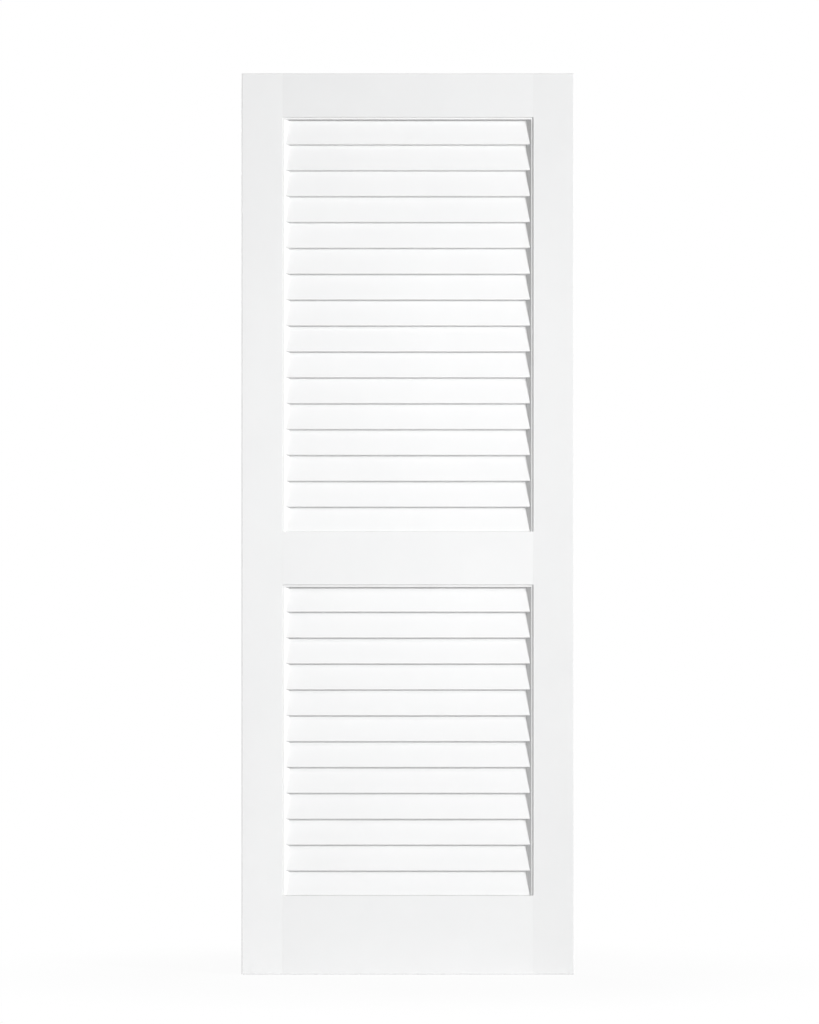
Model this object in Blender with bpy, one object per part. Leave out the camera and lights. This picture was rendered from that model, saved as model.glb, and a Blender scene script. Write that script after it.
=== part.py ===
"""Louvered closet door leaf.

Two stiles and three rails, doweled together, frame two openings. Each opening is lined with a
strip down each side and a strip along its head, mitred at the corners. The strips' fronts slope
a little into the opening, and the side strips then bevel away behind the louvers. Slanting
louvers fill the opening: their ends are let into housings in the side strips, the top louver is
ripped to fit under the head strip, and the bottom louver is ripped to sit on the rail.

Metres, +Z up. The front of the door faces -Y, the door stands on Z = 0, and the origin is the
middle of its bottom edge.
"""

import math

import bmesh
import bpy
from mathutils import Matrix, Vector

# Frame
DOOR_WIDTH = 0.750
DOOR_THICKNESS = 0.035
STILE_WIDTH = 0.0925
TOP_RAIL_WIDTH = 0.0988
LOCK_RAIL_WIDTH = 0.120
BOTTOM_RAIL_WIDTH = 0.178
ARRIS_RADIUS = 0.0015

# Louvers
UPPER_LOUVERS = 16
LOWER_LOUVERS = 12
LOUVER_PITCH = 0.0584
LOUVER_WIDTH = 0.0635
LOUVER_THICKNESS = 0.0075
LOUVER_LEAN = math.radians(10)
LOUVER_EDGE_RADIUS = 0.0012
LOUVER_RECESS = 0.005
LOUVER_DROP = 0.001

# Strips that line the openings
STRIP_WIDTH = 0.018
STRIP_FRONT_WIDTH = 0.0044
STRIP_RECESS = 0.0022
STRIP_SLOPE = math.radians(3)
STRIP_BEVEL = math.radians(42)
HEAD_STRIP_WIDTH = 0.005
HOUSING_BACKING = 0.004

# Dowels
DOWEL_DIAMETER = 0.0127
DOWEL_LENGTH = 0.100
DOWEL_CHAMFER = 0.0015
DOWEL_END_ROOM = 0.002
DOWEL_SPACING = 0.055

# Pieces that meet keep this gap, which stands for the film of glue
SEAT_GAP = 0.0003

ROUND_SIDES = 24
EDGE_SEGMENTS = 2
ROUND_PROFILE = 0.5

# Worked out from the sizes above
OPENING_HALF_WIDTH = DOOR_WIDTH / 2 - STILE_WIDTH
LOWER_OPENING_BOTTOM = BOTTOM_RAIL_WIDTH
LOWER_OPENING_TOP = LOWER_OPENING_BOTTOM + LOWER_LOUVERS * LOUVER_PITCH
UPPER_OPENING_BOTTOM = LOWER_OPENING_TOP + LOCK_RAIL_WIDTH
UPPER_OPENING_TOP = UPPER_OPENING_BOTTOM + UPPER_LOUVERS * LOUVER_PITCH
DOOR_HEIGHT = UPPER_OPENING_TOP + TOP_RAIL_WIDTH

STRIP_FRONT = STRIP_RECESS - DOOR_THICKNESS / 2
STRIP_DEPTH = DOOR_THICKNESS - 2 * STRIP_RECESS
STRIP_ARRIS = STRIP_FRONT + STRIP_FRONT_WIDTH * math.tan(STRIP_SLOPE)

# A louver's lower front edge lies a recess behind the door's face, and the rest leans back from there
LOUVER_DEPTH = LOUVER_WIDTH * math.sin(LOUVER_LEAN) + LOUVER_THICKNESS * math.cos(LOUVER_LEAN)
LOUVER_MIDDLE = LOUVER_RECESS + LOUVER_DEPTH / 2 - DOOR_THICKNESS / 2
LOUVER_LENGTH = 2 * (OPENING_HALF_WIDTH - HOUSING_BACKING)

RAILS = {
    "top_rail": (UPPER_OPENING_TOP, DOOR_HEIGHT),
    "lock_rail": (LOWER_OPENING_TOP, UPPER_OPENING_BOTTOM),
    "bottom_rail": (0.0, LOWER_OPENING_BOTTOM),
}
PANELS = {
    "upper": (UPPER_OPENING_BOTTOM, UPPER_OPENING_TOP, UPPER_LOUVERS),
    "lower": (LOWER_OPENING_BOTTOM, LOWER_OPENING_TOP, LOWER_LOUVERS),
}
SIDES = {"left": -1, "right": 1}
UP = Vector((0, 0, 1))


def clear_scene():
    """Start from an empty scene."""
    for thing in list(bpy.data.objects):
        bpy.data.objects.remove(thing, do_unlink=True)


def new_collection(name):
    """Add a collection to the scene."""
    collection = bpy.data.collections.new(name)
    bpy.context.scene.collection.children.link(collection)
    return collection


def new_material(name, colour, roughness):
    """A plain Principled finish."""
    material = bpy.data.materials.new(name)
    material.use_nodes = True
    shader = material.node_tree.nodes["Principled BSDF"]
    shader.inputs["Base Color"].default_value = (*colour, 1.0)
    shader.inputs["Roughness"].default_value = roughness
    shader.inputs["Metallic"].default_value = 0.0
    material.diffuse_color = (*colour, 1.0)
    return material


def geometry_around(vertices):
    """The vertices of one closed shape with its edges and faces, as bmesh tools take them."""
    edges = {edge for vertex in vertices for edge in vertex.link_edges}
    faces = {face for vertex in vertices for face in vertex.link_faces}
    return list(vertices) + list(edges) + list(faces)


def add_block(bm, size, placement=Matrix.Identity(4)):
    """Add a box of the given size, centred on its placement, and return its vertices."""
    scale = Matrix.Diagonal((*size, 1.0))
    return bmesh.ops.create_cube(bm, size=1.0, matrix=placement @ scale)["verts"]


def round_edges(bm, edges, radius):
    """Round some edges of a block."""
    bmesh.ops.bevel(
        bm,
        geom=edges,
        offset=radius,
        segments=EDGE_SEGMENTS,
        profile=ROUND_PROFILE,
        affect="EDGES",
    )


def saw(bm, vertices, point, normal):
    """Cut away what lies on the normal's side of a plane and close the cut."""
    cut = bmesh.ops.bisect_plane(
        bm,
        geom=geometry_around(vertices),
        plane_co=point,
        plane_no=normal,
        clear_outer=True,
    )["geom_cut"]
    outline = [item for item in cut if isinstance(item, bmesh.types.BMEdge)]
    bmesh.ops.edgeloop_fill(bm, edges=outline)
    bmesh.ops.recalc_face_normals(bm, faces=bm.faces[:])


def mesh_from(bm, name):
    """Turn a bmesh into mesh data."""
    mesh = bpy.data.meshes.new(name)
    bm.to_mesh(mesh)
    bm.free()
    return mesh


def add_object(name, mesh, collection, location=(0, 0, 0), lean=0.0):
    """Put mesh data in the scene, leaning back about X."""
    thing = bpy.data.objects.new(name, mesh)
    thing.location = location
    thing.rotation_euler.x = -lean
    collection.objects.link(thing)
    return thing


def add_part(name, mesh, collection, material, door, location=(0, 0, 0), lean=0.0):
    """Put one piece of the door in the scene."""
    if not mesh.materials:
        mesh.materials.append(material)
    part = add_object(name, mesh, collection, location, lean)
    part.parent = door
    return part


def add_cutter(name, mesh, collection):
    """A shape that only cuts others."""
    cutter = add_object(name, mesh, collection)
    cutter.hide_render = True
    cutter.display_type = "WIRE"
    return cutter


def cut_with(part, cutter):
    """Subtract a cutter from a part."""
    boolean = part.modifiers.new(cutter.name, "BOOLEAN")
    boolean.operation = "DIFFERENCE"
    boolean.object = cutter


def dowel_heights(rail):
    """Heights of a rail's dowels: as many as its width takes at their spacing, about its middle."""
    bottom, top = RAILS[rail]
    count = round((top - bottom) / DOWEL_SPACING)
    lowest = (bottom + top) / 2 - (count - 1) / 2 * DOWEL_SPACING
    return [lowest + index * DOWEL_SPACING for index in range(count)]


def dowel_placement(side, height):
    """A dowel lies along X, centred on the joint between rail and stile."""
    joint = Vector((side * OPENING_HALF_WIDTH, 0, height))
    return Matrix.Translation(joint) @ Matrix.Rotation(math.pi / 2, 4, "Y")


def dowel_hole_cutter(side_name, collection):
    """All the dowel holes of one side of the door."""
    bm = bmesh.new()
    for rail in RAILS:
        for height in dowel_heights(rail):
            bmesh.ops.create_cone(
                bm,
                cap_ends=True,
                segments=ROUND_SIDES,
                radius1=DOWEL_DIAMETER / 2 + SEAT_GAP,
                radius2=DOWEL_DIAMETER / 2 + SEAT_GAP,
                depth=DOWEL_LENGTH + 2 * DOWEL_END_ROOM,
                matrix=dowel_placement(SIDES[side_name], height),
            )
    return add_cutter(f"{side_name}_dowel_holes", mesh_from(bm, "dowel_holes"), collection)


def dowel_mesh():
    """One dowel along Z with chamfered ends."""
    bm = bmesh.new()
    bmesh.ops.create_cone(
        bm,
        cap_ends=True,
        segments=ROUND_SIDES,
        radius1=DOWEL_DIAMETER / 2,
        radius2=DOWEL_DIAMETER / 2,
        depth=DOWEL_LENGTH,
    )
    rims = [edge for edge in bm.edges if edge.verts[0].co.z * edge.verts[1].co.z > 0]
    bmesh.ops.bevel(bm, geom=rims, offset=DOWEL_CHAMFER, segments=1, affect="EDGES")
    return mesh_from(bm, "dowel")


def add_dowels(parts, wood, door):
    """The dowels that hold each rail between the stiles."""
    mesh = dowel_mesh()
    for rail in RAILS:
        for side_name, side in SIDES.items():
            for number, height in enumerate(dowel_heights(rail), start=1):
                name = f"{rail}_dowel_{side_name}_{number}"
                dowel = add_part(name, mesh, parts, wood, door)
                dowel.matrix_local = dowel_placement(side, height)


def add_stile(side_name, parts, paint, door, holes):
    """An upright of the frame, full height, with its outer arrises eased."""
    side = SIDES[side_name]
    bm = bmesh.new()
    add_block(bm, (STILE_WIDTH, DOOR_THICKNESS, DOOR_HEIGHT))
    uprights = [edge for edge in bm.edges if edge.verts[0].co.z * edge.verts[1].co.z < 0]
    round_edges(bm, [edge for edge in uprights if edge.verts[0].co.x * side > 0], ARRIS_RADIUS)
    middle = (side * (DOOR_WIDTH - STILE_WIDTH) / 2, 0, DOOR_HEIGHT / 2)
    stile = add_part(f"{side_name}_stile", mesh_from(bm, "stile"), parts, paint, door, middle)
    cut_with(stile, holes[side_name])


def add_rail(name, parts, paint, door, holes):
    """A cross member of the frame, butted between the stiles."""
    bottom, top = RAILS[name]
    bm = bmesh.new()
    add_block(bm, (2 * (OPENING_HALF_WIDTH - SEAT_GAP), DOOR_THICKNESS, top - bottom))
    middle = (0, 0, (bottom + top) / 2)
    rail = add_part(name, mesh_from(bm, name), parts, paint, door, middle)
    for cutter in holes.values():
        cut_with(rail, cutter)


def louver_middle(panel, index):
    """The middle of a louver, counted from the bottom of its panel."""
    height = PANELS[panel][0] + (index + 0.5) * LOUVER_PITCH - LOUVER_DROP
    return Vector((0, LOUVER_MIDDLE, height))


def louver_placement(panel, index):
    """Where a louver stands and how it leans."""
    return Matrix.Translation(louver_middle(panel, index)) @ Matrix.Rotation(-LOUVER_LEAN, 4, "X")


def head_seat(panel):
    """Height of the head strip's underside, which the top louver fits under."""
    return PANELS[panel][1] - HEAD_STRIP_WIDTH


def housing_cutter(panel, collection):
    """The housings for all the louver ends of one panel, each a little larger than its louver."""
    size = (
        LOUVER_LENGTH + 2 * SEAT_GAP,
        LOUVER_THICKNESS + 2 * SEAT_GAP,
        LOUVER_WIDTH + 2 * SEAT_GAP,
    )
    count = PANELS[panel][2]
    bm = bmesh.new()
    for index in range(count):
        block = add_block(bm, size, louver_placement(panel, index))
        if index == count - 1:
            saw(bm, block, Vector((0, 0, head_seat(panel))), UP)
    return add_cutter(f"{panel}_housings", mesh_from(bm, "housings"), collection)


def louver_bm():
    """One louver lying along X, upright, with its four long edges rounded."""
    bm = bmesh.new()
    add_block(bm, (LOUVER_LENGTH, LOUVER_THICKNESS, LOUVER_WIDTH))
    long_edges = [edge for edge in bm.edges if edge.verts[0].co.x * edge.verts[1].co.x < 0]
    round_edges(bm, long_edges, LOUVER_EDGE_RADIUS)
    return bm


def ripped_louver(panel, index, height, normal):
    """A louver with one edge cut away level, at a height of the door, on the normal's side."""
    to_louver = louver_placement(panel, index).inverted()
    bm = louver_bm()
    saw(bm, bm.verts[:], to_louver @ Vector((0, 0, height)), to_louver.to_3x3() @ normal)
    return mesh_from(bm, "ripped_louver")


def add_louvers(panel, parts, paint, door):
    """The louvers of one panel, numbered from the top as they are seen."""
    bottom, _, count = PANELS[panel]
    whole = mesh_from(louver_bm(), "louver")
    for index in range(count):
        mesh = whole
        if index == 0:
            mesh = ripped_louver(panel, index, bottom + SEAT_GAP, -UP)
        if index == count - 1:
            mesh = ripped_louver(panel, index, head_seat(panel) - SEAT_GAP, UP)
        name = f"{panel}_louver_{count - index:02d}"
        add_part(name, mesh, parts, paint, door, louver_middle(panel, index), LOUVER_LEAN)


def head_block(panel, clearance):
    """The head strip with mitred ends, or with a clearance the larger block that cuts its seat."""
    upper = PANELS[panel][1] - SEAT_GAP
    lower = head_seat(panel)
    outer = OPENING_HALF_WIDTH - SEAT_GAP
    size = (
        2 * (outer + clearance),
        STRIP_DEPTH + 2 * clearance,
        upper - lower + 2 * clearance,
    )
    bm = bmesh.new()
    add_block(bm, size, Matrix.Translation((0, 0, (lower + upper) / 2)))
    front = Vector((0, -math.cos(STRIP_SLOPE), -math.sin(STRIP_SLOPE)))
    saw(bm, bm.verts[:], Vector((0, STRIP_FRONT, PANELS[panel][1])) + front * clearance, front)
    for side in SIDES.values():
        mitre = Vector((side, 0, -1)).normalized()
        corner = Vector((side * outer, 0, upper))
        saw(bm, bm.verts[:], corner + mitre * clearance, mitre)
    return bm


def head_cutter(panel, collection):
    """The seat that the head strip needs in the tops of the side strips."""
    seat = mesh_from(head_block(panel, SEAT_GAP), "head_seat")
    return add_cutter(f"{panel}_head_seat", seat, collection)


def add_head_strip(panel, parts, paint, door):
    """A strip along the head of an opening, its front sloped and both its ends mitred."""
    strip = mesh_from(head_block(panel, 0.0), "head_strip")
    add_part(f"{panel}_head_strip", strip, parts, paint, door)


def add_side_strip(panel, side_name, parts, paint, door, cutters):
    """A strip down one side of an opening: sloped, bevelled, and cut for the louvers and the head strip."""
    side = SIDES[side_name]
    bottom, top, _ = PANELS[panel]
    outer = OPENING_HALF_WIDTH - SEAT_GAP
    inner = OPENING_HALF_WIDTH - STRIP_WIDTH
    length = top - bottom - 2 * SEAT_GAP
    middle = Vector((side * (inner + outer) / 2, 0, (bottom + top) / 2))
    bm = bmesh.new()
    add_block(bm, (outer - inner, STRIP_DEPTH, length), Matrix.Translation(middle))
    quirk = Vector((side * OPENING_HALF_WIDTH, STRIP_FRONT, 0))
    arris = Vector((side * (OPENING_HALF_WIDTH - STRIP_FRONT_WIDTH), STRIP_ARRIS, 0))
    slope = Vector((-side * math.sin(STRIP_SLOPE), -math.cos(STRIP_SLOPE), 0))
    bevel = Vector((-side * math.cos(STRIP_BEVEL), -math.sin(STRIP_BEVEL), 0))
    saw(bm, bm.verts[:], quirk, slope)
    saw(bm, bm.verts[:], arris, bevel)
    name = f"{panel}_{side_name}_louver_strip"
    strip = add_part(name, mesh_from(bm, "louver_strip"), parts, paint, door)
    for cutter in cutters:
        cut_with(strip, cutter)


def build_door():
    """Build every piece of the door."""
    clear_scene()
    parts = new_collection("louvered_closet_door")
    cutters = new_collection("cutters")
    paint = new_material("white_paint", (0.87, 0.875, 0.88), 0.42)
    wood = new_material("beech", (0.58, 0.40, 0.24), 0.65)
    door = bpy.data.objects.new("door", None)
    parts.objects.link(door)

    holes = {side_name: dowel_hole_cutter(side_name, cutters) for side_name in SIDES}
    for side_name in SIDES:
        add_stile(side_name, parts, paint, door, holes)
    for rail in RAILS:
        add_rail(rail, parts, paint, door, holes)
    add_dowels(parts, wood, door)

    for panel in PANELS:
        strip_cutters = [housing_cutter(panel, cutters), head_cutter(panel, cutters)]
        for side_name in SIDES:
            add_side_strip(panel, side_name, parts, paint, door, strip_cutters)
        add_head_strip(panel, parts, paint, door)
        add_louvers(panel, parts, paint, door)


build_door()
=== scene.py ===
# %% [markdown]
# # A painted louvered closet door
# A closet door leaf like this one is joinery. Two stiles and three rails make the frame, thin
# strips line its two openings, and slanting louvers fill them. All of it is sprayed white.
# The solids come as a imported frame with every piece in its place. This lesson gives each piece
# the surface that a joiner and a painter leave: eased arrises, a film of paint over faint grain.

# %% Load the frame
import math

import bpy
import numpy as np
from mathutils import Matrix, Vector


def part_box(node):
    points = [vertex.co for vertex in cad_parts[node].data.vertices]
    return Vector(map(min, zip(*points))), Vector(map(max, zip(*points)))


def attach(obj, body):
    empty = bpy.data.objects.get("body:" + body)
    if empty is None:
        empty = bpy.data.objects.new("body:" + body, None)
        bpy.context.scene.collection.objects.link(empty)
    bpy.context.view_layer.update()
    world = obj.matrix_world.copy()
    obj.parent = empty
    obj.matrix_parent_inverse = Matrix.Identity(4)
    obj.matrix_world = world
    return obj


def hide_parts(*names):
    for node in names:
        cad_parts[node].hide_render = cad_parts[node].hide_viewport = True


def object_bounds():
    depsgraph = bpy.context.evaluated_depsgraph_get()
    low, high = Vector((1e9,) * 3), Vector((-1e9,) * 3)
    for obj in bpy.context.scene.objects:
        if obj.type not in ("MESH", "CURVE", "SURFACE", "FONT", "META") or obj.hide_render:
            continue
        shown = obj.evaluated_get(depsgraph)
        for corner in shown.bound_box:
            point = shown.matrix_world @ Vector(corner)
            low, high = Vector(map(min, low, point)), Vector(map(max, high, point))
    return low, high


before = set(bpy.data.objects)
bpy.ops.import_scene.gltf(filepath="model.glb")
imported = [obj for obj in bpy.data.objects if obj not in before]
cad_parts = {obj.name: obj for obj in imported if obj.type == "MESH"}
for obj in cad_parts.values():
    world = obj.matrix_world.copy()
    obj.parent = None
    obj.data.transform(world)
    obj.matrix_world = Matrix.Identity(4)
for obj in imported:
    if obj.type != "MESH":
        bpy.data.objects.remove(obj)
cad_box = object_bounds()
cad_size = [round(side, 4) for side in cad_box[1] - cad_box[0]]
print(len(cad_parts), "nodes in a box of", cad_size)

# %% [markdown]
# ## What the frame measures
# No piece is placed by eye. Every piece below reads its size from the node that it stands for,
# so a door of another width would be dressed by the same lines. Rails and stiles are plain
# blocks, so the two corners of their boxes say all; the openings are what the rails leave free.

# %% Measure the frame
def corners_of(node):
    """Lowest and highest corner of a node as arrays."""
    low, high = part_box(node)
    return np.array(low), np.array(high)


def points_of(node):
    """All the points of a node's mesh, as an array of points by 3."""
    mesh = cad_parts[node].data
    flat = np.empty(len(mesh.vertices) * 3, np.float32)
    mesh.vertices.foreach_get("co", flat)
    return flat.reshape(-1, 3).astype(float)


SIDES = {"left": -1, "right": 1}
RAILS = ("top_rail", "lock_rail", "bottom_rail")
OPENING_HALF_WIDTH = corners_of("right_stile")[0][0]
OPENINGS = {
    "upper": (corners_of("lock_rail")[1][2], corners_of("top_rail")[0][2]),
    "lower": (corners_of("bottom_rail")[1][2], corners_of("lock_rail")[0][2]),
}
print("openings", {name: [round(z, 4) for z in span] for name, span in OPENINGS.items()})

# %% [markdown]
# ## A profile carried along a path
# Planed timber has one section from end to end, so the natural surface for it is a section
# repeated at stations along a line. A modifier stack could bevel a box, but a grid of rings lets
# an arris change along the piece, and keeps neat quads. Everything here is worked out as whole
# arrays: one array of stations by points around by three coordinates is one piece of timber.

# %% Make a mesh from rings
def swept_mesh(name, *sweeps):
    """A mesh of closed sweeps, each an array of stations by points around by 3.

    Point j of ring i makes a quad with point j + 1 and with the same two points of ring i + 1.
    The last point joins the first, and one flat face closes each end. Rings run anticlockwise
    seen from the far end of the path, so that faces point outwards.
    """
    faces = []
    first = 0
    for rings in sweeps:
        stations, around, _ = rings.shape
        index = first + np.arange(stations * around).reshape(stations, around)
        here, there = index[:-1], index[1:]
        quads = np.stack([here, np.roll(here, -1, 1), np.roll(there, -1, 1), there], -1)
        faces += quads.reshape(-1, 4).tolist()
        faces += [index[0, ::-1].tolist(), index[-1].tolist()]
        first += stations * around
    points = np.concatenate([rings.reshape(-1, 3) for rings in sweeps])
    mesh = bpy.data.meshes.new(name)
    mesh.from_pydata(points.tolist(), [], faces)
    return mesh


# %% Round the corners of a section
CURVE_STEPS = np.linspace(0.0, 1.0, 6)[:, None]
HOLD = 0.0004


def rounded_outline(corners, reach):
    """The outline of a polygon with each corner eased into a curve.

    The curve leaves one edge `reach` before the corner and meets the next edge `reach` after it:
    (1 - t)^2 start + 2 t (1 - t) corner + t^2 end. One more point, a little further off on each
    edge, holds the flats flat when the surface is shaded smooth. Both arguments may carry
    leading axes, such as one for stations.
    """
    back = np.roll(corners, 1, -2) - corners
    ahead = np.roll(corners, -1, -2) - corners
    back = (back / np.linalg.norm(back, axis=-1, keepdims=True))[..., None, :]
    ahead = (ahead / np.linalg.norm(ahead, axis=-1, keepdims=True))[..., None, :]
    corner = corners[..., None, :]
    reach = np.broadcast_to(reach, corners.shape[:-1])[..., None, None]
    t = CURVE_STEPS
    curve = (1 - t) ** 2 * (corner + back * reach) + 2 * t * (1 - t) * corner
    curve = curve + t**2 * (corner + ahead * reach)
    holds = corner + back * (reach + HOLD), corner + ahead * (reach + HOLD)
    outline = np.concatenate([holds[0], curve, holds[1]], -2)
    return outline.reshape(*corners.shape[:-2], -1, 2)


# %% Put a piece in the scene
def add_piece(name, mesh, node):
    """A piece that stands for a node and rides with the door; the node's own solid is hidden."""
    piece = bpy.data.objects.new(name, mesh)
    bpy.context.scene.collection.objects.link(piece)
    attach(piece, "root")
    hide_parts(node)
    return piece


def carve(piece, cutter):
    """Subtract a closed mesh from a piece, and keep the result as the piece's own mesh."""
    helper = bpy.data.objects.new("cutter", cutter)
    bpy.context.scene.collection.objects.link(helper)
    boolean = piece.modifiers.new("carve", "BOOLEAN")
    boolean.operation = "DIFFERENCE"
    boolean.object = helper
    evaluated = piece.evaluated_get(bpy.context.evaluated_depsgraph_get())
    blank = piece.data
    piece.data = bpy.data.meshes.new_from_object(evaluated)
    piece.data.name = piece.name
    piece.modifiers.clear()
    bpy.data.objects.remove(helper)
    bpy.data.meshes.remove(cutter)
    bpy.data.meshes.remove(blank)


# %% [markdown]
# ## Dowels
# Each rail is held between the stiles by beech dowels, half in the stile and half in the rail's
# end. A dowel for gluing is fluted, so that air and glue can get past it, and its ends are
# chamfered to find the hole. A circle whose radius dips in each flute, carried along X, makes
# one; they are hidden in the finished door, and matter to whoever takes it apart.

# %% Turn the dowels
FLUTES = 20
FLUTE_DEPTH = 0.0003
POINTS_PER_FLUTE = 6
DOWEL_CHAMFER = 0.0015
HOLE_CLEARANCE = 0.00025
HOLE_END_ROOM = 0.002
HOLE_SIDES = 48
MOST_DOWELS = 9


def dowel_node(rail, side_name, number):
    """Name of one dowel's node."""
    return f"{rail}_dowel_{side_name}_{number}"


DOWELS = {
    (rail, side_name): [
        dowel_node(rail, side_name, number)
        for number in range(1, MOST_DOWELS + 1)
        if dowel_node(rail, side_name, number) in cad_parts
    ]
    for rail in RAILS
    for side_name in SIDES
}


def lathe_rings(stations, radii, centre, turn, flute_depth=0.0):
    """Rings about the X axis: radius at each station, less a flute that follows (1 - cos) / 2."""
    flute = flute_depth * (1 - np.cos(turn * FLUTES)) / 2
    radius = radii[:, None] - flute
    return np.stack(
        [
            np.broadcast_to(stations[:, None], radius.shape),
            centre[1] + radius * np.cos(turn),
            centre[2] + radius * np.sin(turn),
        ],
        -1,
    )


def dowel_rings(node):
    """One fluted dowel with chamfered ends."""
    low, high = corners_of(node)
    radius = (high[2] - low[2]) / 2
    inset = np.array([0.0, DOWEL_CHAMFER])
    stations = np.concatenate([low[0] + inset, high[0] - inset[::-1]])
    radii = radius - np.array([DOWEL_CHAMFER / 2, 0.0, 0.0, DOWEL_CHAMFER / 2])
    turn = np.linspace(0, 2 * np.pi, FLUTES * POINTS_PER_FLUTE, endpoint=False)
    return lathe_rings(stations, radii, (low + high) / 2, turn, FLUTE_DEPTH)


def hole_rings(node):
    """The hole that a dowel sits in: a plain cylinder, a little wider and longer."""
    low, high = corners_of(node)
    radius = (high[2] - low[2]) / 2 + HOLE_CLEARANCE
    stations = np.array([low[0] - HOLE_END_ROOM, high[0] + HOLE_END_ROOM])
    turn = np.linspace(0, 2 * np.pi, HOLE_SIDES, endpoint=False)
    return lathe_rings(stations, np.full(2, radius), (low + high) / 2, turn)


dowels = [
    add_piece(f"fluted_{node}", swept_mesh(f"fluted_{node}", dowel_rings(node)), node)
    for names in DOWELS.values()
    for node in names
]
print(len(dowels), "dowels with", FLUTES, "flutes")

# %% [markdown]
# ## Stiles
# The stiles run the full height. Their outer arrises are sanded to a small round, and so are the
# arrises that look into the openings. Where a rail butts against the stile the arris dies out,
# because both faces were sanded flush there after gluing. So the reach of the inner arris is a
# function of height: full along an opening, and a hairline at a rail.

# %% Ease the ends of a member
END_TURN = np.linspace(0, np.pi / 2, 5)
ARRIS = 0.0018
HAIRLINE = 0.00012
INNER_ARRIS = 0.0010
ARRIS_FADE = 0.004
FADE_STEPS = 7


def eased_stations(low, high, radius, between):
    """Stations along a member, and how far its ring is drawn in at each.

    At an end the ring climbs radius (1 - cos a) and is drawn in by radius (1 - sin a), which is a
    quarter round; one full ring just beyond it holds the long faces flat when they are shaded
    smooth. `between` are more stations where the ring has its full size.
    """
    climb = np.append(radius * (1 - np.cos(END_TURN)), radius + HOLD)
    inset = np.append(radius * (1 - np.sin(END_TURN)), 0.0)
    stations = np.concatenate([low + climb, between, high - climb[::-1]])
    return stations, np.concatenate([inset, np.zeros(len(between)), inset[::-1]])


def drawn_in(low, high, inset):
    """Corners of a rectangle at each station, anticlockwise, drawn in by the inset there."""
    near = np.asarray(low) + inset[:, None]
    far = np.asarray(high) - inset[:, None]
    across = np.stack([near[:, 0], far[:, 0], far[:, 0], near[:, 0]], -1)
    up = np.stack([near[:, 1], near[:, 1], far[:, 1], far[:, 1]], -1)
    return np.stack([across, up], -1)


# %% Shape the stiles
def opening_share(heights):
    """1 along an opening and 0 at a rail, with a short smooth fade between."""
    share = np.zeros_like(heights)
    for bottom, top in OPENINGS.values():
        inside = np.minimum(heights - bottom, top - heights) / ARRIS_FADE
        inside = np.clip(inside, 0, 1)
        share = np.maximum(share, inside**2 * (3 - 2 * inside))
    return share


def stile_rings(side_name):
    """A rectangle carried up Z, with its four arrises eased by height."""
    low, high = corners_of(f"{side_name}_stile")
    fades = np.linspace(0, ARRIS_FADE, FADE_STEPS)
    edges = [bottom + fades for bottom, _ in OPENINGS.values()]
    edges += [top - fades for _, top in OPENINGS.values()]
    between = np.sort(np.concatenate(edges))
    heights, inset = eased_stations(low[2], high[2], ARRIS, between)
    inner = HAIRLINE + (INNER_ARRIS - HAIRLINE) * opening_share(heights)
    outer = np.full_like(heights, ARRIS)
    left, right = (outer, inner) if side_name == "left" else (inner, outer)
    reach = np.stack([left, right, right, left], -1)
    section = rounded_outline(drawn_in(low[:2], high[:2], inset), reach)
    level = np.broadcast_to(heights[:, None, None], (*section.shape[:2], 1))
    return np.concatenate([section, level], -1)


stiles = []
for side_name in SIDES:
    node = f"{side_name}_stile"
    blank = swept_mesh(node, stile_rings(side_name))
    stile = add_piece(f"painted_{node}", blank, node)
    holes = [hole_rings(dowel) for rail in RAILS for dowel in DOWELS[rail, side_name]]
    carve(stile, swept_mesh("dowel_holes", *holes))
    stiles.append(stile)
print("stiles of", [len(stile.data.polygons) for stile in stiles], "faces")

# %% [markdown]
# ## Rails
# A rail is a shorter bar that lies along X. Its arrises towards an opening are eased like the
# stile's, and its outer ones like the stile's ends. Its own ends come to within a hairline of
# the stiles: under paint a glued butt joint shows as a faint line at most.

# %% Shape the rails
JOINT = 0.00005


def rail_rings(node):
    """A rectangle carried along X between the stiles, with its four arrises eased."""
    low, high = corners_of(node)
    reach_x = OPENING_HALF_WIDTH - JOINT
    stations, inset = eased_stations(-reach_x, reach_x, HAIRLINE, np.array([0.0]))
    reach = np.full((len(stations), 4), INNER_ARRIS)
    reach[:, :2] = ARRIS if node == "bottom_rail" else INNER_ARRIS
    reach[:, 2:] = ARRIS if node == "top_rail" else INNER_ARRIS
    section = rounded_outline(drawn_in(low[1:], high[1:], inset), reach)
    along = np.broadcast_to(stations[:, None, None], (*section.shape[:2], 1))
    return np.concatenate([along, section], -1)


rails = []
for node in RAILS:
    rail = add_piece(f"painted_{node}", swept_mesh(node, rail_rings(node)), node)
    holes = [hole_rings(dowel) for side_name in SIDES for dowel in DOWELS[node, side_name]]
    carve(rail, swept_mesh("dowel_holes", *holes))
    rails.append(rail)
print("rails of", [len(rail.data.polygons) for rail in rails], "faces")

# %% [markdown]
# ## Louvers
# A louver is a thin slat with softened edges that leans back between the side strips. The top
# and bottom ones of a panel are ripped level to fit. The section comes from the solid's own end:
# its four longest edges are prolonged until they meet, which gives the section before easing.
# Real slats are never quite alike, so each is bowed and tilted by a hair, from a fixed seed.

# %% Read a louver's section
MICRON = 1e-6
MICRON_PLACES = 6
END_DEPTH = 1e-5
SECTION_SIDES = 4


def meeting_points(starts, runs):
    """Where each line of a closed chain meets the line before it."""
    other_starts, other_runs = np.roll(starts, 1, 0), np.roll(runs, 1, 0)

    def cross(a, b):
        return a[:, 0] * b[:, 1] - a[:, 1] * b[:, 0]

    share = cross(other_starts - starts, other_runs) / cross(runs, other_runs)
    return starts + share[:, None] * runs


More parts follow.
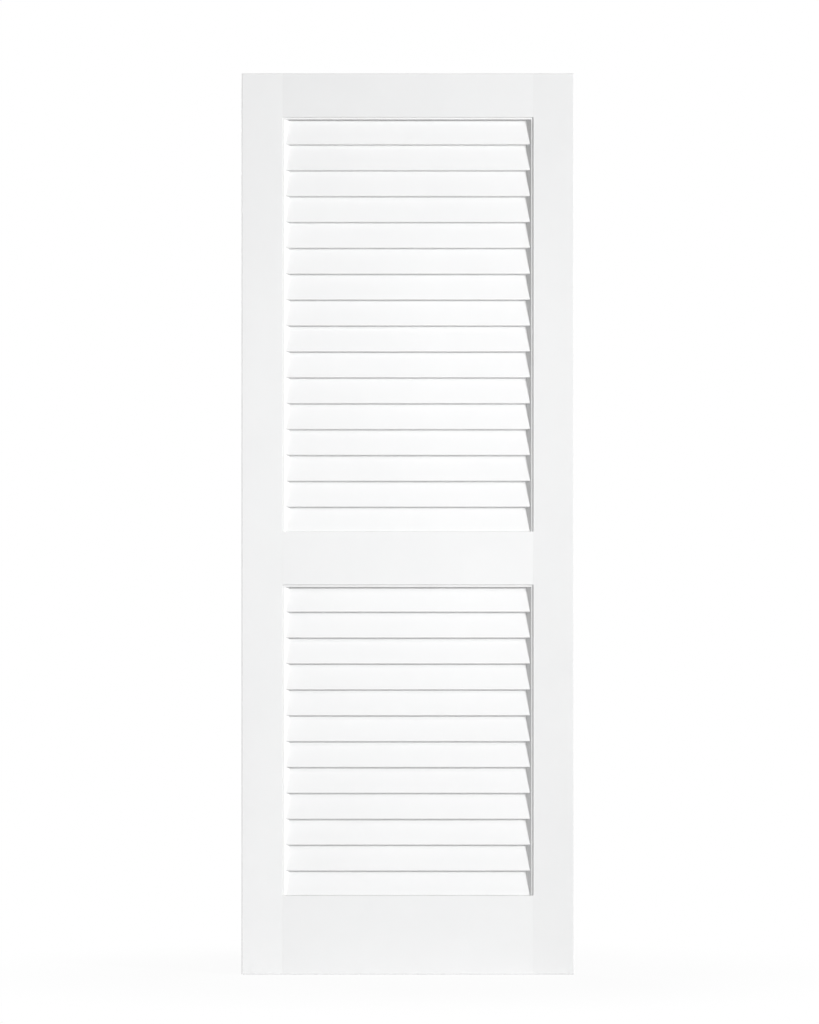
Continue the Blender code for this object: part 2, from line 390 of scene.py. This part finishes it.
def louver_corners(node):
    """The four corners (y, z) of a louver's section, anticlockwise seen from +X."""
    points = points_of(node)
    end = points[points[:, 0] > points[:, 0].max() - END_DEPTH][:, 1:]
    end = np.unique(end.round(MICRON_PLACES), axis=0)
    spoke = end - end.mean(0)
    outline = end[np.argsort(np.arctan2(spoke[:, 1], spoke[:, 0]))]
    runs = np.roll(outline, -1, 0) - outline
    longest = np.sort(np.argsort(-np.linalg.norm(runs, axis=1))[:SECTION_SIDES])
    return meeting_points(outline[longest], runs[longest])


LOUVERS = {
    panel: sorted(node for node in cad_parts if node.startswith(f"{panel}_louver_"))
    for panel in OPENINGS
}
SECTIONS = {node: louver_corners(node) for names in LOUVERS.values() for node in names}
print({panel: len(names) for panel, names in LOUVERS.items()}, "louvers")

# %% Shape the louvers
LOUVER_EDGE = 0.0017
MOST_BOW = 0.00035
MOST_TILT = math.radians(0.12)
LOUVER_STATIONS = 25
SEED = 28
chance = np.random.default_rng(SEED)


def louver_rings(node):
    """An eased section carried along X.

    The section is turned about its own middle by the louver's tilt, and set forward or back by
    its bow, bow (1 - s^2), where s runs from -1 to 1 along the louver.
    """
    low, high = corners_of(node)
    bow, tilt = chance.uniform(-1, 1, 2) * (MOST_BOW, MOST_TILT)
    section = rounded_outline(SECTIONS[node], LOUVER_EDGE)
    middle = SECTIONS[node].mean(0)
    turn = np.array([[math.cos(tilt), math.sin(tilt)], [-math.sin(tilt), math.cos(tilt)]])
    section = (section - middle) @ turn + middle
    s = np.linspace(-1, 1, LOUVER_STATIONS)
    shift = np.stack([bow * (1 - s**2), np.zeros_like(s)], -1)
    rings = section[None] + shift[:, None]
    along = np.broadcast_to((high[0] * s)[:, None, None], (*rings.shape[:2], 1))
    return np.concatenate([along, rings], -1)


louvers = []
for node in sum(LOUVERS.values(), []):
    slat = swept_mesh(f"painted_{node}", louver_rings(node))
    louvers.append(add_piece(f"painted_{node}", slat, node))
print(len(louvers), "louvers of", len(louvers[0].data.polygons), "faces each")

# %% [markdown]
# ## Strips that line the openings
# A strip runs down each side of an opening. Its narrow front is nearly flat. It turns over a soft
# arris and bevels away behind the louvers, whose ends sit in slanted housings cut into it. A
# shorter strip closes the head; the two meet in a mitre. The section is read from the solid and
# swept, and the housings are cut with the louvers' own sections grown by a hair, as a router jig
# would.

# %% Shape the head strips
HEAD_EDGE = 0.0008


def head_corners(panel):
    """The four corners (y, z) of a head strip's section, anticlockwise seen from +X."""
    points = points_of(f"{panel}_head_strip")
    low, high = points.min(0), points.max(0)
    foot = points[points[:, 2] < low[2] + MICRON]
    return np.array(
        [(foot[:, 1].min(), low[2]), (high[1], low[2]), (high[1], high[2]), (low[1], high[2])]
    )


def mitred_rings(corners, reach, outer, edge_reach):
    """A section carried along X between two mitres: its ends draw in by the drop from the top."""
    section = rounded_outline(corners, np.array(reach))
    stations = np.array([-1.0, 1.0])[:, None]
    along = stations * (outer - edge_reach - (corners[:, 1].max() - section[:, 1]))
    return np.stack([along, *np.broadcast_arrays(section[:, 0], section[:, 1], along)[:2]], -1)


MITRE = 0.0001
head_strips = []
for panel in OPENINGS:
    node = f"{panel}_head_strip"
    reach = (HEAD_EDGE, HEAD_EDGE, HAIRLINE, HAIRLINE)
    rings = mitred_rings(head_corners(panel), reach, corners_of(node)[1][0], MITRE)
    head_strips.append(add_piece(f"painted_{node}", swept_mesh(node, rings), node))
print("head strips", [round(corners_of(f"{panel}_head_strip")[1][0], 4) for panel in OPENINGS])

# %% Grow a section for its housing
HOUSING_GAP = 0.00012


def grown(corners, gap):
    """A polygon whose edges have moved outwards by a gap: corner - (u + v) gap / sin(u, v)."""
    back = np.roll(corners, 1, 0) - corners
    ahead = np.roll(corners, -1, 0) - corners
    back = back / np.linalg.norm(back, axis=1, keepdims=True)
    ahead = ahead / np.linalg.norm(ahead, axis=1, keepdims=True)
    sine = np.abs(back[:, 0] * ahead[:, 1] - back[:, 1] * ahead[:, 0])
    return corners - (back + ahead) * (gap / sine)[:, None]


def housing_rings(node):
    """The space that a louver takes up in both strips."""
    low, high = corners_of(node)
    section = rounded_outline(grown(SECTIONS[node], HOUSING_GAP), LOUVER_EDGE)
    ends = np.array([low[0] - HOUSING_GAP, high[0] + HOUSING_GAP])
    along = np.broadcast_to(ends[:, None, None], (2, len(section), 1))
    return np.concatenate([along, np.broadcast_to(section, (2, *section.shape))], -1)


# %% Shape the side strips
STRIP_ARRIS = 0.0010
STRIP_FOOT = 0.0008
STRIP_BACK_EDGE = 0.0012
SEAT = 0.0001


def strip_corners(panel, side_name):
    """Corners (x, y) of a side strip's section: quirk, two back corners, foot of the bevel, arris.

    The arris is the point that lies furthest in front of the line from the quirk to the foot.
    """
    points = points_of(f"{panel}_{side_name}_louver_strip")[:, :2] * (SIDES[side_name], 1)
    near, far = points.min(0), points.max(0)
    quirk = np.array((far[0], near[1]))
    inner_back = np.array((near[0], far[1]))
    foot = points[points[:, 0] < near[0] + MICRON].min(0)
    chord = foot - quirk
    ahead = (points - quirk) @ np.array((chord[1], -chord[0]))
    arris = points[np.argmin(ahead)]
    return np.array([quirk, far, inner_back, foot, arris]) * (SIDES[side_name], 1)


def strip_rings(panel, side_name):
    """The strip's eased section carried up Z, from the rail below to the rail above."""
    low, high = corners_of(f"{panel}_{side_name}_louver_strip")
    corners = strip_corners(panel, side_name)
    reach = np.array((HAIRLINE, HAIRLINE, STRIP_BACK_EDGE, STRIP_FOOT, STRIP_ARRIS))
    if side_name == "left":
        corners, reach = corners[::-1], reach[::-1]
    section = rounded_outline(corners, reach)
    ends = np.array([low[2], high[2]])
    level = np.broadcast_to(ends[:, None, None], (2, len(section), 1))
    return np.concatenate([np.broadcast_to(section, (2, *section.shape)), level], -1)


def head_seat_rings(panel):
    """The space that a head strip takes up in the tops of the side strips."""
    outer = corners_of(f"{panel}_head_strip")[1][0]
    corners = grown(head_corners(panel), SEAT)
    return mitred_rings(corners, (HAIRLINE,) * 4, outer, -SEAT)


side_strips = []
for panel in OPENINGS:
    for side_name in SIDES:
        node = f"{panel}_{side_name}_louver_strip"
        blank = swept_mesh(node, strip_rings(panel, side_name))
        strip = add_piece(f"painted_{node}", blank, node)
        housings = [housing_rings(louver) for louver in LOUVERS[panel]]
        carve(strip, swept_mesh("housings", *housings, head_seat_rings(panel)))
        side_strips.append(strip)
print("side strips of", [len(strip.data.polygons) for strip in side_strips], "faces")

# %% [markdown]
# ## Smooth shading, and where the surface turns
# Planed faces stay flat and eased arrises look round, so the shading is smooth wherever the
# surface turns gently. Paint draws back from an arris while it is wet, so a mask of the arrises
# is useful in the finish. It is measured: the angle between the faces at each edge, kept at the
# edge's two points, and stored as the attribute "arris".

# %% Shade smooth and mark the arrises
SHARP = math.radians(40)
FULL_TURN = math.radians(16)


def mark_arrises(mesh):
    """Store at each point the largest angle between faces that meet there, 1 being a full turn."""
    face_count, corner_count = len(mesh.polygons), len(mesh.loops)
    normals = np.empty(face_count * 3, np.float32)
    totals = np.empty(face_count, np.int32)
    edge_of_corner = np.empty(corner_count, np.int32)
    ends = np.empty(len(mesh.edges) * 2, np.int32)
    mesh.polygons.foreach_get("normal", normals)
    mesh.polygons.foreach_get("loop_total", totals)
    mesh.loops.foreach_get("edge_index", edge_of_corner)
    mesh.edges.foreach_get("vertices", ends)
    corner_normals = np.repeat(normals.reshape(-1, 3), totals, axis=0)
    order = np.argsort(edge_of_corner, kind="stable")
    pairs = corner_normals[order].reshape(-1, 2, 3)
    bend = np.arccos(np.clip((pairs[:, 0] * pairs[:, 1]).sum(-1), -1, 1))
    turn = np.zeros(len(mesh.vertices))
    np.maximum.at(turn, ends.reshape(-1, 2), bend[:, None])
    mask = np.clip(turn / FULL_TURN, 0, 1).astype(np.float32)
    mesh.attributes.new("arris", "FLOAT", "POINT").data.foreach_set("value", mask)


painted = {
    "left_stile": stiles[:1],
    "right_stile": stiles[1:],
    **{node: [rail] for node, rail in zip(RAILS, rails)},
    "louver": louvers,
    "strip": side_strips,
    "head": head_strips,
}
for piece in [*sum(painted.values(), []), *dowels]:
    piece.data.shade_smooth()
    piece.data.set_sharp_from_angle(angle=SHARP)
    mark_arrises(piece.data)
print("arrises marked on", len(sum(painted.values(), [])) + len(dowels), "pieces")

# %% [markdown]
# ## Shared effects of the finish
# Sprayed paint is not one flat white. It is a little uneven in thickness over a hand's breadth,
# it has a fine orange peel, and long faint strokes where the timber was sanded along the grain.
# Each effect is a node group with named outputs, built once and used by every painted material.
# The groups expect the grain along X; each material turns its coordinates to suit.

# %% Helpers for nodes
def add_node(tree, kind, **settings):
    """Add a node; settings with a leading capital are its input sockets, the rest its properties."""
    node = tree.nodes.new(kind)
    for name, value in settings.items():
        if name[0].isupper():
            node.inputs[name.replace("_", " ")].default_value = value
        else:
            setattr(node, name, value)
    return node


def range_node(tree, taken, given=(0.0, 1.0)):
    """A node that maps one range of values on another, and cuts off what lies outside."""
    return add_node(
        tree,
        "ShaderNodeMapRange",
        From_Min=taken[0],
        From_Max=taken[1],
        To_Min=given[0],
        To_Max=given[1],
    )


def new_group(name, inputs, outputs):
    """An empty shader node group with its named sockets, and its two end nodes."""
    group = bpy.data.node_groups.new(name, "ShaderNodeTree")
    for socket, kind in inputs.items():
        group.interface.new_socket(name=socket, in_out="INPUT", socket_type=kind)
    for socket in outputs:
        group.interface.new_socket(name=socket, in_out="OUTPUT", socket_type="NodeSocketFloat")
    return group, add_node(group, "NodeGroupInput"), add_node(group, "NodeGroupOutput")


# %% Group: sprayed film
MOTTLE_SCALE = 5.0
PEEL_SCALE = 520.0
STROKE_STRETCH = (6.0, 480.0, 480.0)


def sprayed_film_group():
    """Mottle over a hand's breadth, orange peel of about 2 mm, and long strokes along X."""
    group, given, made = new_group(
        "sprayed_film", {"Vector": "NodeSocketVector"}, ("Mottle", "Peel", "Strokes")
    )
    link = group.links.new
    mottle = add_node(group, "ShaderNodeTexNoise", Scale=MOTTLE_SCALE, Detail=3.0, Roughness=0.55)
    peel = add_node(group, "ShaderNodeTexNoise", Scale=PEEL_SCALE, Detail=2.0, Roughness=0.5)
    stretch = add_node(group, "ShaderNodeMapping", Scale=STROKE_STRETCH)
    strokes = add_node(group, "ShaderNodeTexNoise", Scale=1.0, Detail=4.0, Roughness=0.6)
    link(given.outputs["Vector"], mottle.inputs["Vector"])
    link(given.outputs["Vector"], peel.inputs["Vector"])
    link(given.outputs["Vector"], stretch.inputs["Vector"])
    link(stretch.outputs["Vector"], strokes.inputs["Vector"])
    link(mottle.outputs["Fac"], made.inputs["Mottle"])
    link(peel.outputs["Fac"], made.inputs["Peel"])
    link(strokes.outputs["Fac"], made.inputs["Strokes"])
    return group


# %% Group: timber grain
GRAIN_STRETCH = (0.9, 26.0, 26.0)
RING_SCALE = 2.2
PORE_STRETCH = (40.0, 1400.0, 1400.0)


def timber_grain_group():
    """Year rings as bands that wander along X, and fine pores between them."""
    group, given, made = new_group(
        "timber_grain", {"Vector": "NodeSocketVector"}, ("Rings", "Pores")
    )
    link = group.links.new
    stretch = add_node(group, "ShaderNodeMapping", Scale=GRAIN_STRETCH)
    rings = add_node(
        group,
        "ShaderNodeTexWave",
        wave_type="RINGS",
        rings_direction="X",
        Scale=RING_SCALE,
        Distortion=5.0,
        Detail=3.0,
        Detail_Scale=1.4,
        Detail_Roughness=0.6,
    )
    fine = add_node(group, "ShaderNodeMapping", Scale=PORE_STRETCH)
    pores = add_node(group, "ShaderNodeTexNoise", Scale=1.0, Detail=2.0, Roughness=0.7)
    link(given.outputs["Vector"], stretch.inputs["Vector"])
    link(stretch.outputs["Vector"], rings.inputs["Vector"])
    link(given.outputs["Vector"], fine.inputs["Vector"])
    link(fine.outputs["Vector"], pores.inputs["Vector"])
    link(rings.outputs["Fac"], made.inputs["Rings"])
    link(pores.outputs["Fac"], made.inputs["Pores"])
    return group


# %% Group: thin arrises
PATCH_SCALE = 38.0
PATCH_RANGE = (0.42, 0.68)


def thin_arris_group():
    """Where paint is thin: on the measured arrises, broken up by noise along the edge."""
    group, given, made = new_group("thin_arris", {"Vector": "NodeSocketVector"}, ("Thin",))
    link = group.links.new
    arris = add_node(group, "ShaderNodeAttribute", attribute_name="arris")
    patches = add_node(group, "ShaderNodeTexNoise", Scale=PATCH_SCALE, Detail=4.0, Roughness=0.65)
    spread = range_node(group, PATCH_RANGE)
    both = add_node(group, "ShaderNodeMath", operation="MULTIPLY")
    link(given.outputs["Vector"], patches.inputs["Vector"])
    link(patches.outputs["Fac"], spread.inputs["Value"])
    link(arris.outputs["Fac"], both.inputs[0])
    link(spread.outputs["Result"], both.inputs[1])
    link(both.outputs["Value"], made.inputs["Thin"])
    return group


film_group = sprayed_film_group()
grain_group = timber_grain_group()
arris_group = thin_arris_group()
print("node groups", [group.name for group in (film_group, grain_group, arris_group)])

# %% [markdown]
# ## White paint
# The paint is a satin white, nearly neutral. The tone mottles by a hundredth or two, arrises
# show a trace of the warmer primer, and gloss follows the strokes. The film's relief is real but
# tiny, hundredths of a millimetre, so it goes into a bump and not into the mesh. Stiles have
# their grain upright, while rails and louvers lie across. The members also differ in tone by a
# few hundredths, set so that each comes near its brightness in the photograph. These tones are
# painted light and shade: lighter and darker copies of one white stand in for uneven light.

# %% Build the paint
PAINT = (0.869, 0.872, 0.873, 1.0)
PAINT_SHADE = (0.851, 0.854, 0.856, 1.0)
PRIMER = (0.840, 0.826, 0.800, 1.0)
PRIMER_SHARE = 0.35
MOTTLE_RANGE = (0.3, 0.7)
STROKE_RANGE = (0.25, 0.75)
SATIN_ROUGHNESS = (0.36, 0.50)
FILM_RELIEF = 0.00002
PEEL_SHARE = 0.35
STROKE_SHARE = 0.40
BOARD_GRAIN = 0.9
SLAT_GRAIN = 0.5
LEVEL = (0.0, 0.0, 0.0)
UPRIGHT = (0.0, math.radians(90), 0.0)


def sum_of(tree, *weighted):
    """A chain of multiply-add nodes: the weighted sum of some sockets."""
    total = None
    for socket, weight in weighted:
        term = add_node(tree, "ShaderNodeMath", operation="MULTIPLY_ADD")
        tree.links.new(socket, term.inputs[0])
        term.inputs[1].default_value = weight
        term.inputs[2].default_value = 0.0
        if total is not None:
            tree.links.new(total, term.inputs[2])
        total = term.outputs["Value"]
    return total


def toned(colour, tone):
    """A colour made lighter or darker."""
    return (*(tone * channel for channel in colour[:3]), 1.0)


def mixed(tree, factor, first, second):
    """A colour between two, by a mask; each may be a colour or another node's socket."""
    mix = add_node(tree, "ShaderNodeMix", data_type="RGBA")
    tree.links.new(factor, mix.inputs["Factor"])
    for socket, colour in (("A", first), ("B", second)):
        slot = next(s for s in mix.inputs if s.name == socket and s.type == "RGBA")
        if isinstance(colour, tuple):
            slot.default_value = colour
        else:
            tree.links.new(colour, slot)
    return next(s for s in mix.outputs if s.type == "RGBA")


def white_paint(name, turn, grain_share, tone):
    """Satin white over timber whose grain runs along X before the turn.

    The share says how much of the relief is grain, and the tone makes the white lighter or darker,
    as painted light and shade.
    """
    material = bpy.data.materials.new(name)
    material.use_nodes = True
    tree = material.node_tree
    link = tree.links.new
    shader = tree.nodes["Principled BSDF"]
    place = add_node(tree, "ShaderNodeTexCoord")
    along = add_node(tree, "ShaderNodeMapping", Rotation=turn)
    link(place.outputs["Object"], along.inputs["Vector"])
    film, grain, arris = (
        add_node(tree, "ShaderNodeGroup", node_tree=group)
        for group in (film_group, grain_group, arris_group)
    )
    for effect in (film, grain, arris):
        link(along.outputs["Vector"], effect.inputs["Vector"])
    uneven = range_node(tree, MOTTLE_RANGE)
    link(film.outputs["Mottle"], uneven.inputs["Value"])
    body = mixed(tree, uneven.outputs["Result"], toned(PAINT, tone), toned(PAINT_SHADE, tone))
    faint = add_node(tree, "ShaderNodeMath", operation="MULTIPLY")
    faint.inputs[1].default_value = PRIMER_SHARE
    link(arris.outputs["Thin"], faint.inputs[0])
    link(mixed(tree, faint.outputs["Value"], body, PRIMER), shader.inputs["Base Color"])
    gloss = range_node(tree, STROKE_RANGE, SATIN_ROUGHNESS)
    link(film.outputs["Strokes"], gloss.inputs["Value"])
    link(gloss.outputs["Result"], shader.inputs["Roughness"])
    relief = sum_of(
        tree,
        (film.outputs["Peel"], PEEL_SHARE),
        (film.outputs["Strokes"], STROKE_SHARE),
        (grain.outputs["Rings"], grain_share),
    )
    bump = add_node(tree, "ShaderNodeBump", Strength=1.0, Distance=FILM_RELIEF)
    link(relief, bump.inputs["Height"])
    link(bump.outputs["Normal"], shader.inputs["Normal"])
    return material


# The tone of each member is painted light and shade: lighter and darker copies of one white paint.
FINISHES_WITH_PAINTED_LIGHT = {
    "left_stile": (UPRIGHT, BOARD_GRAIN, 1.035),
    "right_stile": (UPRIGHT, BOARD_GRAIN, 0.975),
    "top_rail": (LEVEL, BOARD_GRAIN, 1.0),
    "lock_rail": (LEVEL, BOARD_GRAIN, 1.03),
    "bottom_rail": (LEVEL, BOARD_GRAIN, 1.005),
    "louver": (LEVEL, SLAT_GRAIN, 1.04),
    "strip": (UPRIGHT, SLAT_GRAIN, 0.95),
    "head": (LEVEL, SLAT_GRAIN, 1.04),
}
paints = {
    member: white_paint(f"{member}_paint", *finish) for member, finish in FINISHES_WITH_PAINTED_LIGHT.items()
}
for member, pieces in painted.items():
    for piece in pieces:
        piece.data.materials.clear()
        piece.data.materials.append(paints[member])
print("painted", {member: len(pieces) for member, pieces in painted.items()})

# %% [markdown]
# ## Beech
# Dowel rod is beech: pale, pinkish brown, with short dark flecks along the grain. Rings and
# pores come from the same grain group as under the paint, here as colour.

# %% Build the beech
BEECH_LIGHT = (0.62, 0.43, 0.26, 1.0)
BEECH_DARK = (0.49, 0.31, 0.17, 1.0)
BEECH_FLECK = (0.36, 0.21, 0.11, 1.0)
FLECK_RANGE = (0.58, 0.72)
BEECH_ROUGHNESS = (0.55, 0.75)
PORE_RELIEF = 0.00005
PORE_STRENGTH = 0.6


def beech():
    """Beech with its grain along X."""
    material = bpy.data.materials.new("beech_dowel")
    material.use_nodes = True
    tree = material.node_tree
    link = tree.links.new
    shader = tree.nodes["Principled BSDF"]
    place = add_node(tree, "ShaderNodeTexCoord")
    grain = add_node(tree, "ShaderNodeGroup", node_tree=grain_group)
    link(place.outputs["Object"], grain.inputs["Vector"])
    fleck = range_node(tree, FLECK_RANGE)
    link(grain.outputs["Pores"], fleck.inputs["Value"])
    body = mixed(tree, grain.outputs["Rings"], BEECH_LIGHT, BEECH_DARK)
    link(mixed(tree, fleck.outputs["Result"], body, BEECH_FLECK), shader.inputs["Base Color"])
    rough = range_node(tree, (0.0, 1.0), BEECH_ROUGHNESS)
    link(grain.outputs["Pores"], rough.inputs["Value"])
    link(rough.outputs["Result"], shader.inputs["Roughness"])
    bump = add_node(tree, "ShaderNodeBump", Strength=PORE_STRENGTH, Distance=PORE_RELIEF)
    link(grain.outputs["Pores"], bump.inputs["Height"])
    link(bump.outputs["Normal"], shader.inputs["Normal"])
    return material


wood = beech()
for dowel in dowels:
    dowel.data.materials.clear()
    dowel.data.materials.append(wood)
print("beech on", len(dowels), "dowels")

# %% [markdown]
# ## Camera
# The door is seen straight on from far off, so that its sides run parallel. One pixel of the
# picture is a fixed size at the door's front; the lens follows from that and the distance.

# %% Place the camera
PICTURE_HEIGHT = 1024
PICTURE_WIDTH = 819
PIXEL = 0.002255
CAMERA_DISTANCE = 14.0
DOOR_MIDDLE_PIXEL = (407.95, 523.95)
SENSOR = 36.0

door_low, door_high = (np.array(corner) for corner in cad_box)
middle = (door_low + door_high) / 2
camera_data = bpy.data.cameras.new("camera")
camera_data.sensor_width = SENSOR
camera_data.lens = SENSOR * CAMERA_DISTANCE / (PICTURE_HEIGHT * PIXEL)
camera = bpy.data.objects.new("camera", camera_data)
camera.location = (
    middle[0] + (PICTURE_WIDTH / 2 - DOOR_MIDDLE_PIXEL[0]) * PIXEL,
    door_low[1] - CAMERA_DISTANCE,
    middle[2] + (DOOR_MIDDLE_PIXEL[1] - PICTURE_HEIGHT / 2) * PIXEL,
)
camera.rotation_euler = (math.pi / 2, 0, 0)
bpy.context.scene.collection.objects.link(camera)
bpy.context.scene.camera = camera
print("lens", round(camera_data.lens, 1), "mm at", [round(v, 3) for v in camera.location])

# %% [markdown]
# ## Light
# One softbox stands far off to the right and above the door. It rakes across the front, so the
# strips at the right fall into shade and those at the left catch it, and each louver throws a
# thin shadow on the next. A weak lamp looks down the front and softens the lower edge of those
# shadows. A third lights the back, which the picture doesn't show. The white surround fills in.
# Light adds up, so each lamp can be rendered alone and the strengths solved for. These were found
# in that way against the photograph, then rounded and changed.

# %% Hang the lamps
def softbox(name, place, aim, size, power, spread=180):
    """A square area light at a place, turned to look at a point; the spread is in degrees."""
    light = bpy.data.lights.new(name, "AREA")
    light.shape = "SQUARE"
    light.size = size
    light.energy = power
    light.spread = math.radians(spread)
    lamp = bpy.data.objects.new(name, light)
    lamp.location = place
    lamp.rotation_euler = (Vector(place) - Vector(aim)).to_track_quat("Z", "Y").to_euler()
    lamp.visible_camera = False
    bpy.context.scene.collection.objects.link(lamp)
    return lamp


lamps = [
    softbox("key", place=(11.3, -9.85, 4.6), aim=(0, 0, 1.1), size=2.2, power=2075.0),
    softbox("down", place=(0.2, -2.2, 3.2), aim=(0, 0, 0.4), size=0.8, power=1.4, spread=50),
    softbox("back", place=(-3.0, 5.0, 2.6), aim=(0, 0, 1.0), size=2.0, power=170.0),
]
print("lamps", [lamp.name for lamp in lamps])

# %% [markdown]
# ## Ground and background
# The background is plain white. The camera and reflections see it at strength 1, while the light
# that it gives the door is set apart and lower. The ground is pale too: it keeps a soft shadow
# near the door and goes over into white further off, so that no horizon shows.

# %% Make the world
WHITE = (1.0, 1.0, 1.0, 1.0)
AMBIENT = 0.21


def seen_directly(tree):
    """1 for rays from the camera and for reflected and transmitted ones, and 0 for light."""
    path = add_node(tree, "ShaderNodeLightPath")
    total = path.outputs["Is Camera Ray"]
    for ray in ("Is Glossy Ray", "Is Transmission Ray"):
        either = add_node(tree, "ShaderNodeMath", operation="MAXIMUM")
        tree.links.new(total, either.inputs[0])
        tree.links.new(path.outputs[ray], either.inputs[1])
        total = either.outputs["Value"]
    return total


world = bpy.data.worlds.new("white_surround")
bpy.context.scene.world = world
world.use_nodes = True
sky = world.node_tree
lit = sky.nodes["Background"]
lit.inputs["Color"].default_value = WHITE
lit.inputs["Strength"].default_value = AMBIENT
seen = add_node(sky, "ShaderNodeBackground", Color=WHITE, Strength=1.0)
either = add_node(sky, "ShaderNodeMixShader")
sky.links.new(seen_directly(sky), either.inputs["Fac"])
sky.links.new(lit.outputs["Background"], either.inputs[1])
sky.links.new(seen.outputs["Background"], either.inputs[2])
sky.links.new(either.outputs["Shader"], sky.nodes["World Output"].inputs["Surface"])
print("ambient", AMBIENT)

# %% Lay the ground
GROUND_RADIUS = 30.0
GROUND_INNERMOST = 0.02
GROUND_RINGS = 24
GROUND_SIDES = 64
GROUND_COLOUR = (0.80, 0.80, 0.80, 1.0)
SHADOW_SHARE = 0.06
SHADOW_NEAR = 0.4
SHADOW_FAR = 1.2


def ground_mesh():
    """A disc of rings about the door's foot; radius grows with the square of the ring's number."""
    radius = GROUND_RADIUS * np.linspace(GROUND_INNERMOST, 1.0, GROUND_RINGS) ** 2
    turn = np.linspace(0, 2 * np.pi, GROUND_SIDES, endpoint=False)
    level = np.zeros((GROUND_RINGS, GROUND_SIDES))
    points = np.stack([np.outer(radius, np.cos(turn)), np.outer(radius, np.sin(turn)), level], -1)
    index = np.arange(level.size).reshape(level.shape)
    here, there = index[:-1], index[1:]
    quads = np.stack([here, there, np.roll(there, -1, 1), np.roll(here, -1, 1)], -1).reshape(-1, 4)
    mesh = bpy.data.meshes.new("ground")
    mesh.from_pydata(points.reshape(-1, 3).tolist(), [], quads.tolist() + [index[0].tolist()])
    return mesh


def ground_finish():
    """Pale matt ground that is white where it is seen, apart from a share that keeps shadows."""
    material = bpy.data.materials.new("pale_ground")
    material.use_nodes = True
    tree = material.node_tree
    link = tree.links.new
    shader = tree.nodes["Principled BSDF"]
    shader.inputs["Base Color"].default_value = GROUND_COLOUR
    shader.inputs["Roughness"].default_value = 1.0
    shader.inputs["Specular IOR Level"].default_value = 0.0
    place = add_node(tree, "ShaderNodeTexCoord")
    reach = add_node(tree, "ShaderNodeVectorMath", operation="LENGTH")
    link(place.outputs["Object"], reach.inputs[0])
    share = add_node(
        tree,
        "ShaderNodeMapRange",
        interpolation_type="SMOOTHSTEP",
        From_Min=SHADOW_NEAR,
        From_Max=SHADOW_FAR,
        To_Min=1.0 - SHADOW_SHARE,
        To_Max=1.0,
    )
    link(reach.outputs["Value"], share.inputs["Value"])
    white = add_node(tree, "ShaderNodeEmission", Color=WHITE, Strength=1.0)
    factor = add_node(tree, "ShaderNodeMath", operation="MULTIPLY")
    link(seen_directly(tree), factor.inputs[0])
    link(share.outputs["Result"], factor.inputs[1])
    blend = add_node(tree, "ShaderNodeMixShader")
    link(factor.outputs["Value"], blend.inputs["Fac"])
    link(shader.outputs["BSDF"], blend.inputs[1])
    link(white.outputs["Emission"], blend.inputs[2])
    link(blend.outputs["Shader"], tree.nodes["Material Output"].inputs["Surface"])
    return material


ground = bpy.data.objects.new("ground", ground_mesh())
bpy.context.scene.collection.objects.link(ground)
ground.data.materials.append(ground_finish())
print("ground of", len(ground.data.polygons), "faces")

# %% [markdown]
# ## View transform
# The picture is shown with a plain transform, so that a colour looks as it is written.

# %% Set the view transform
bpy.context.scene.view_settings.view_transform = "Standard"
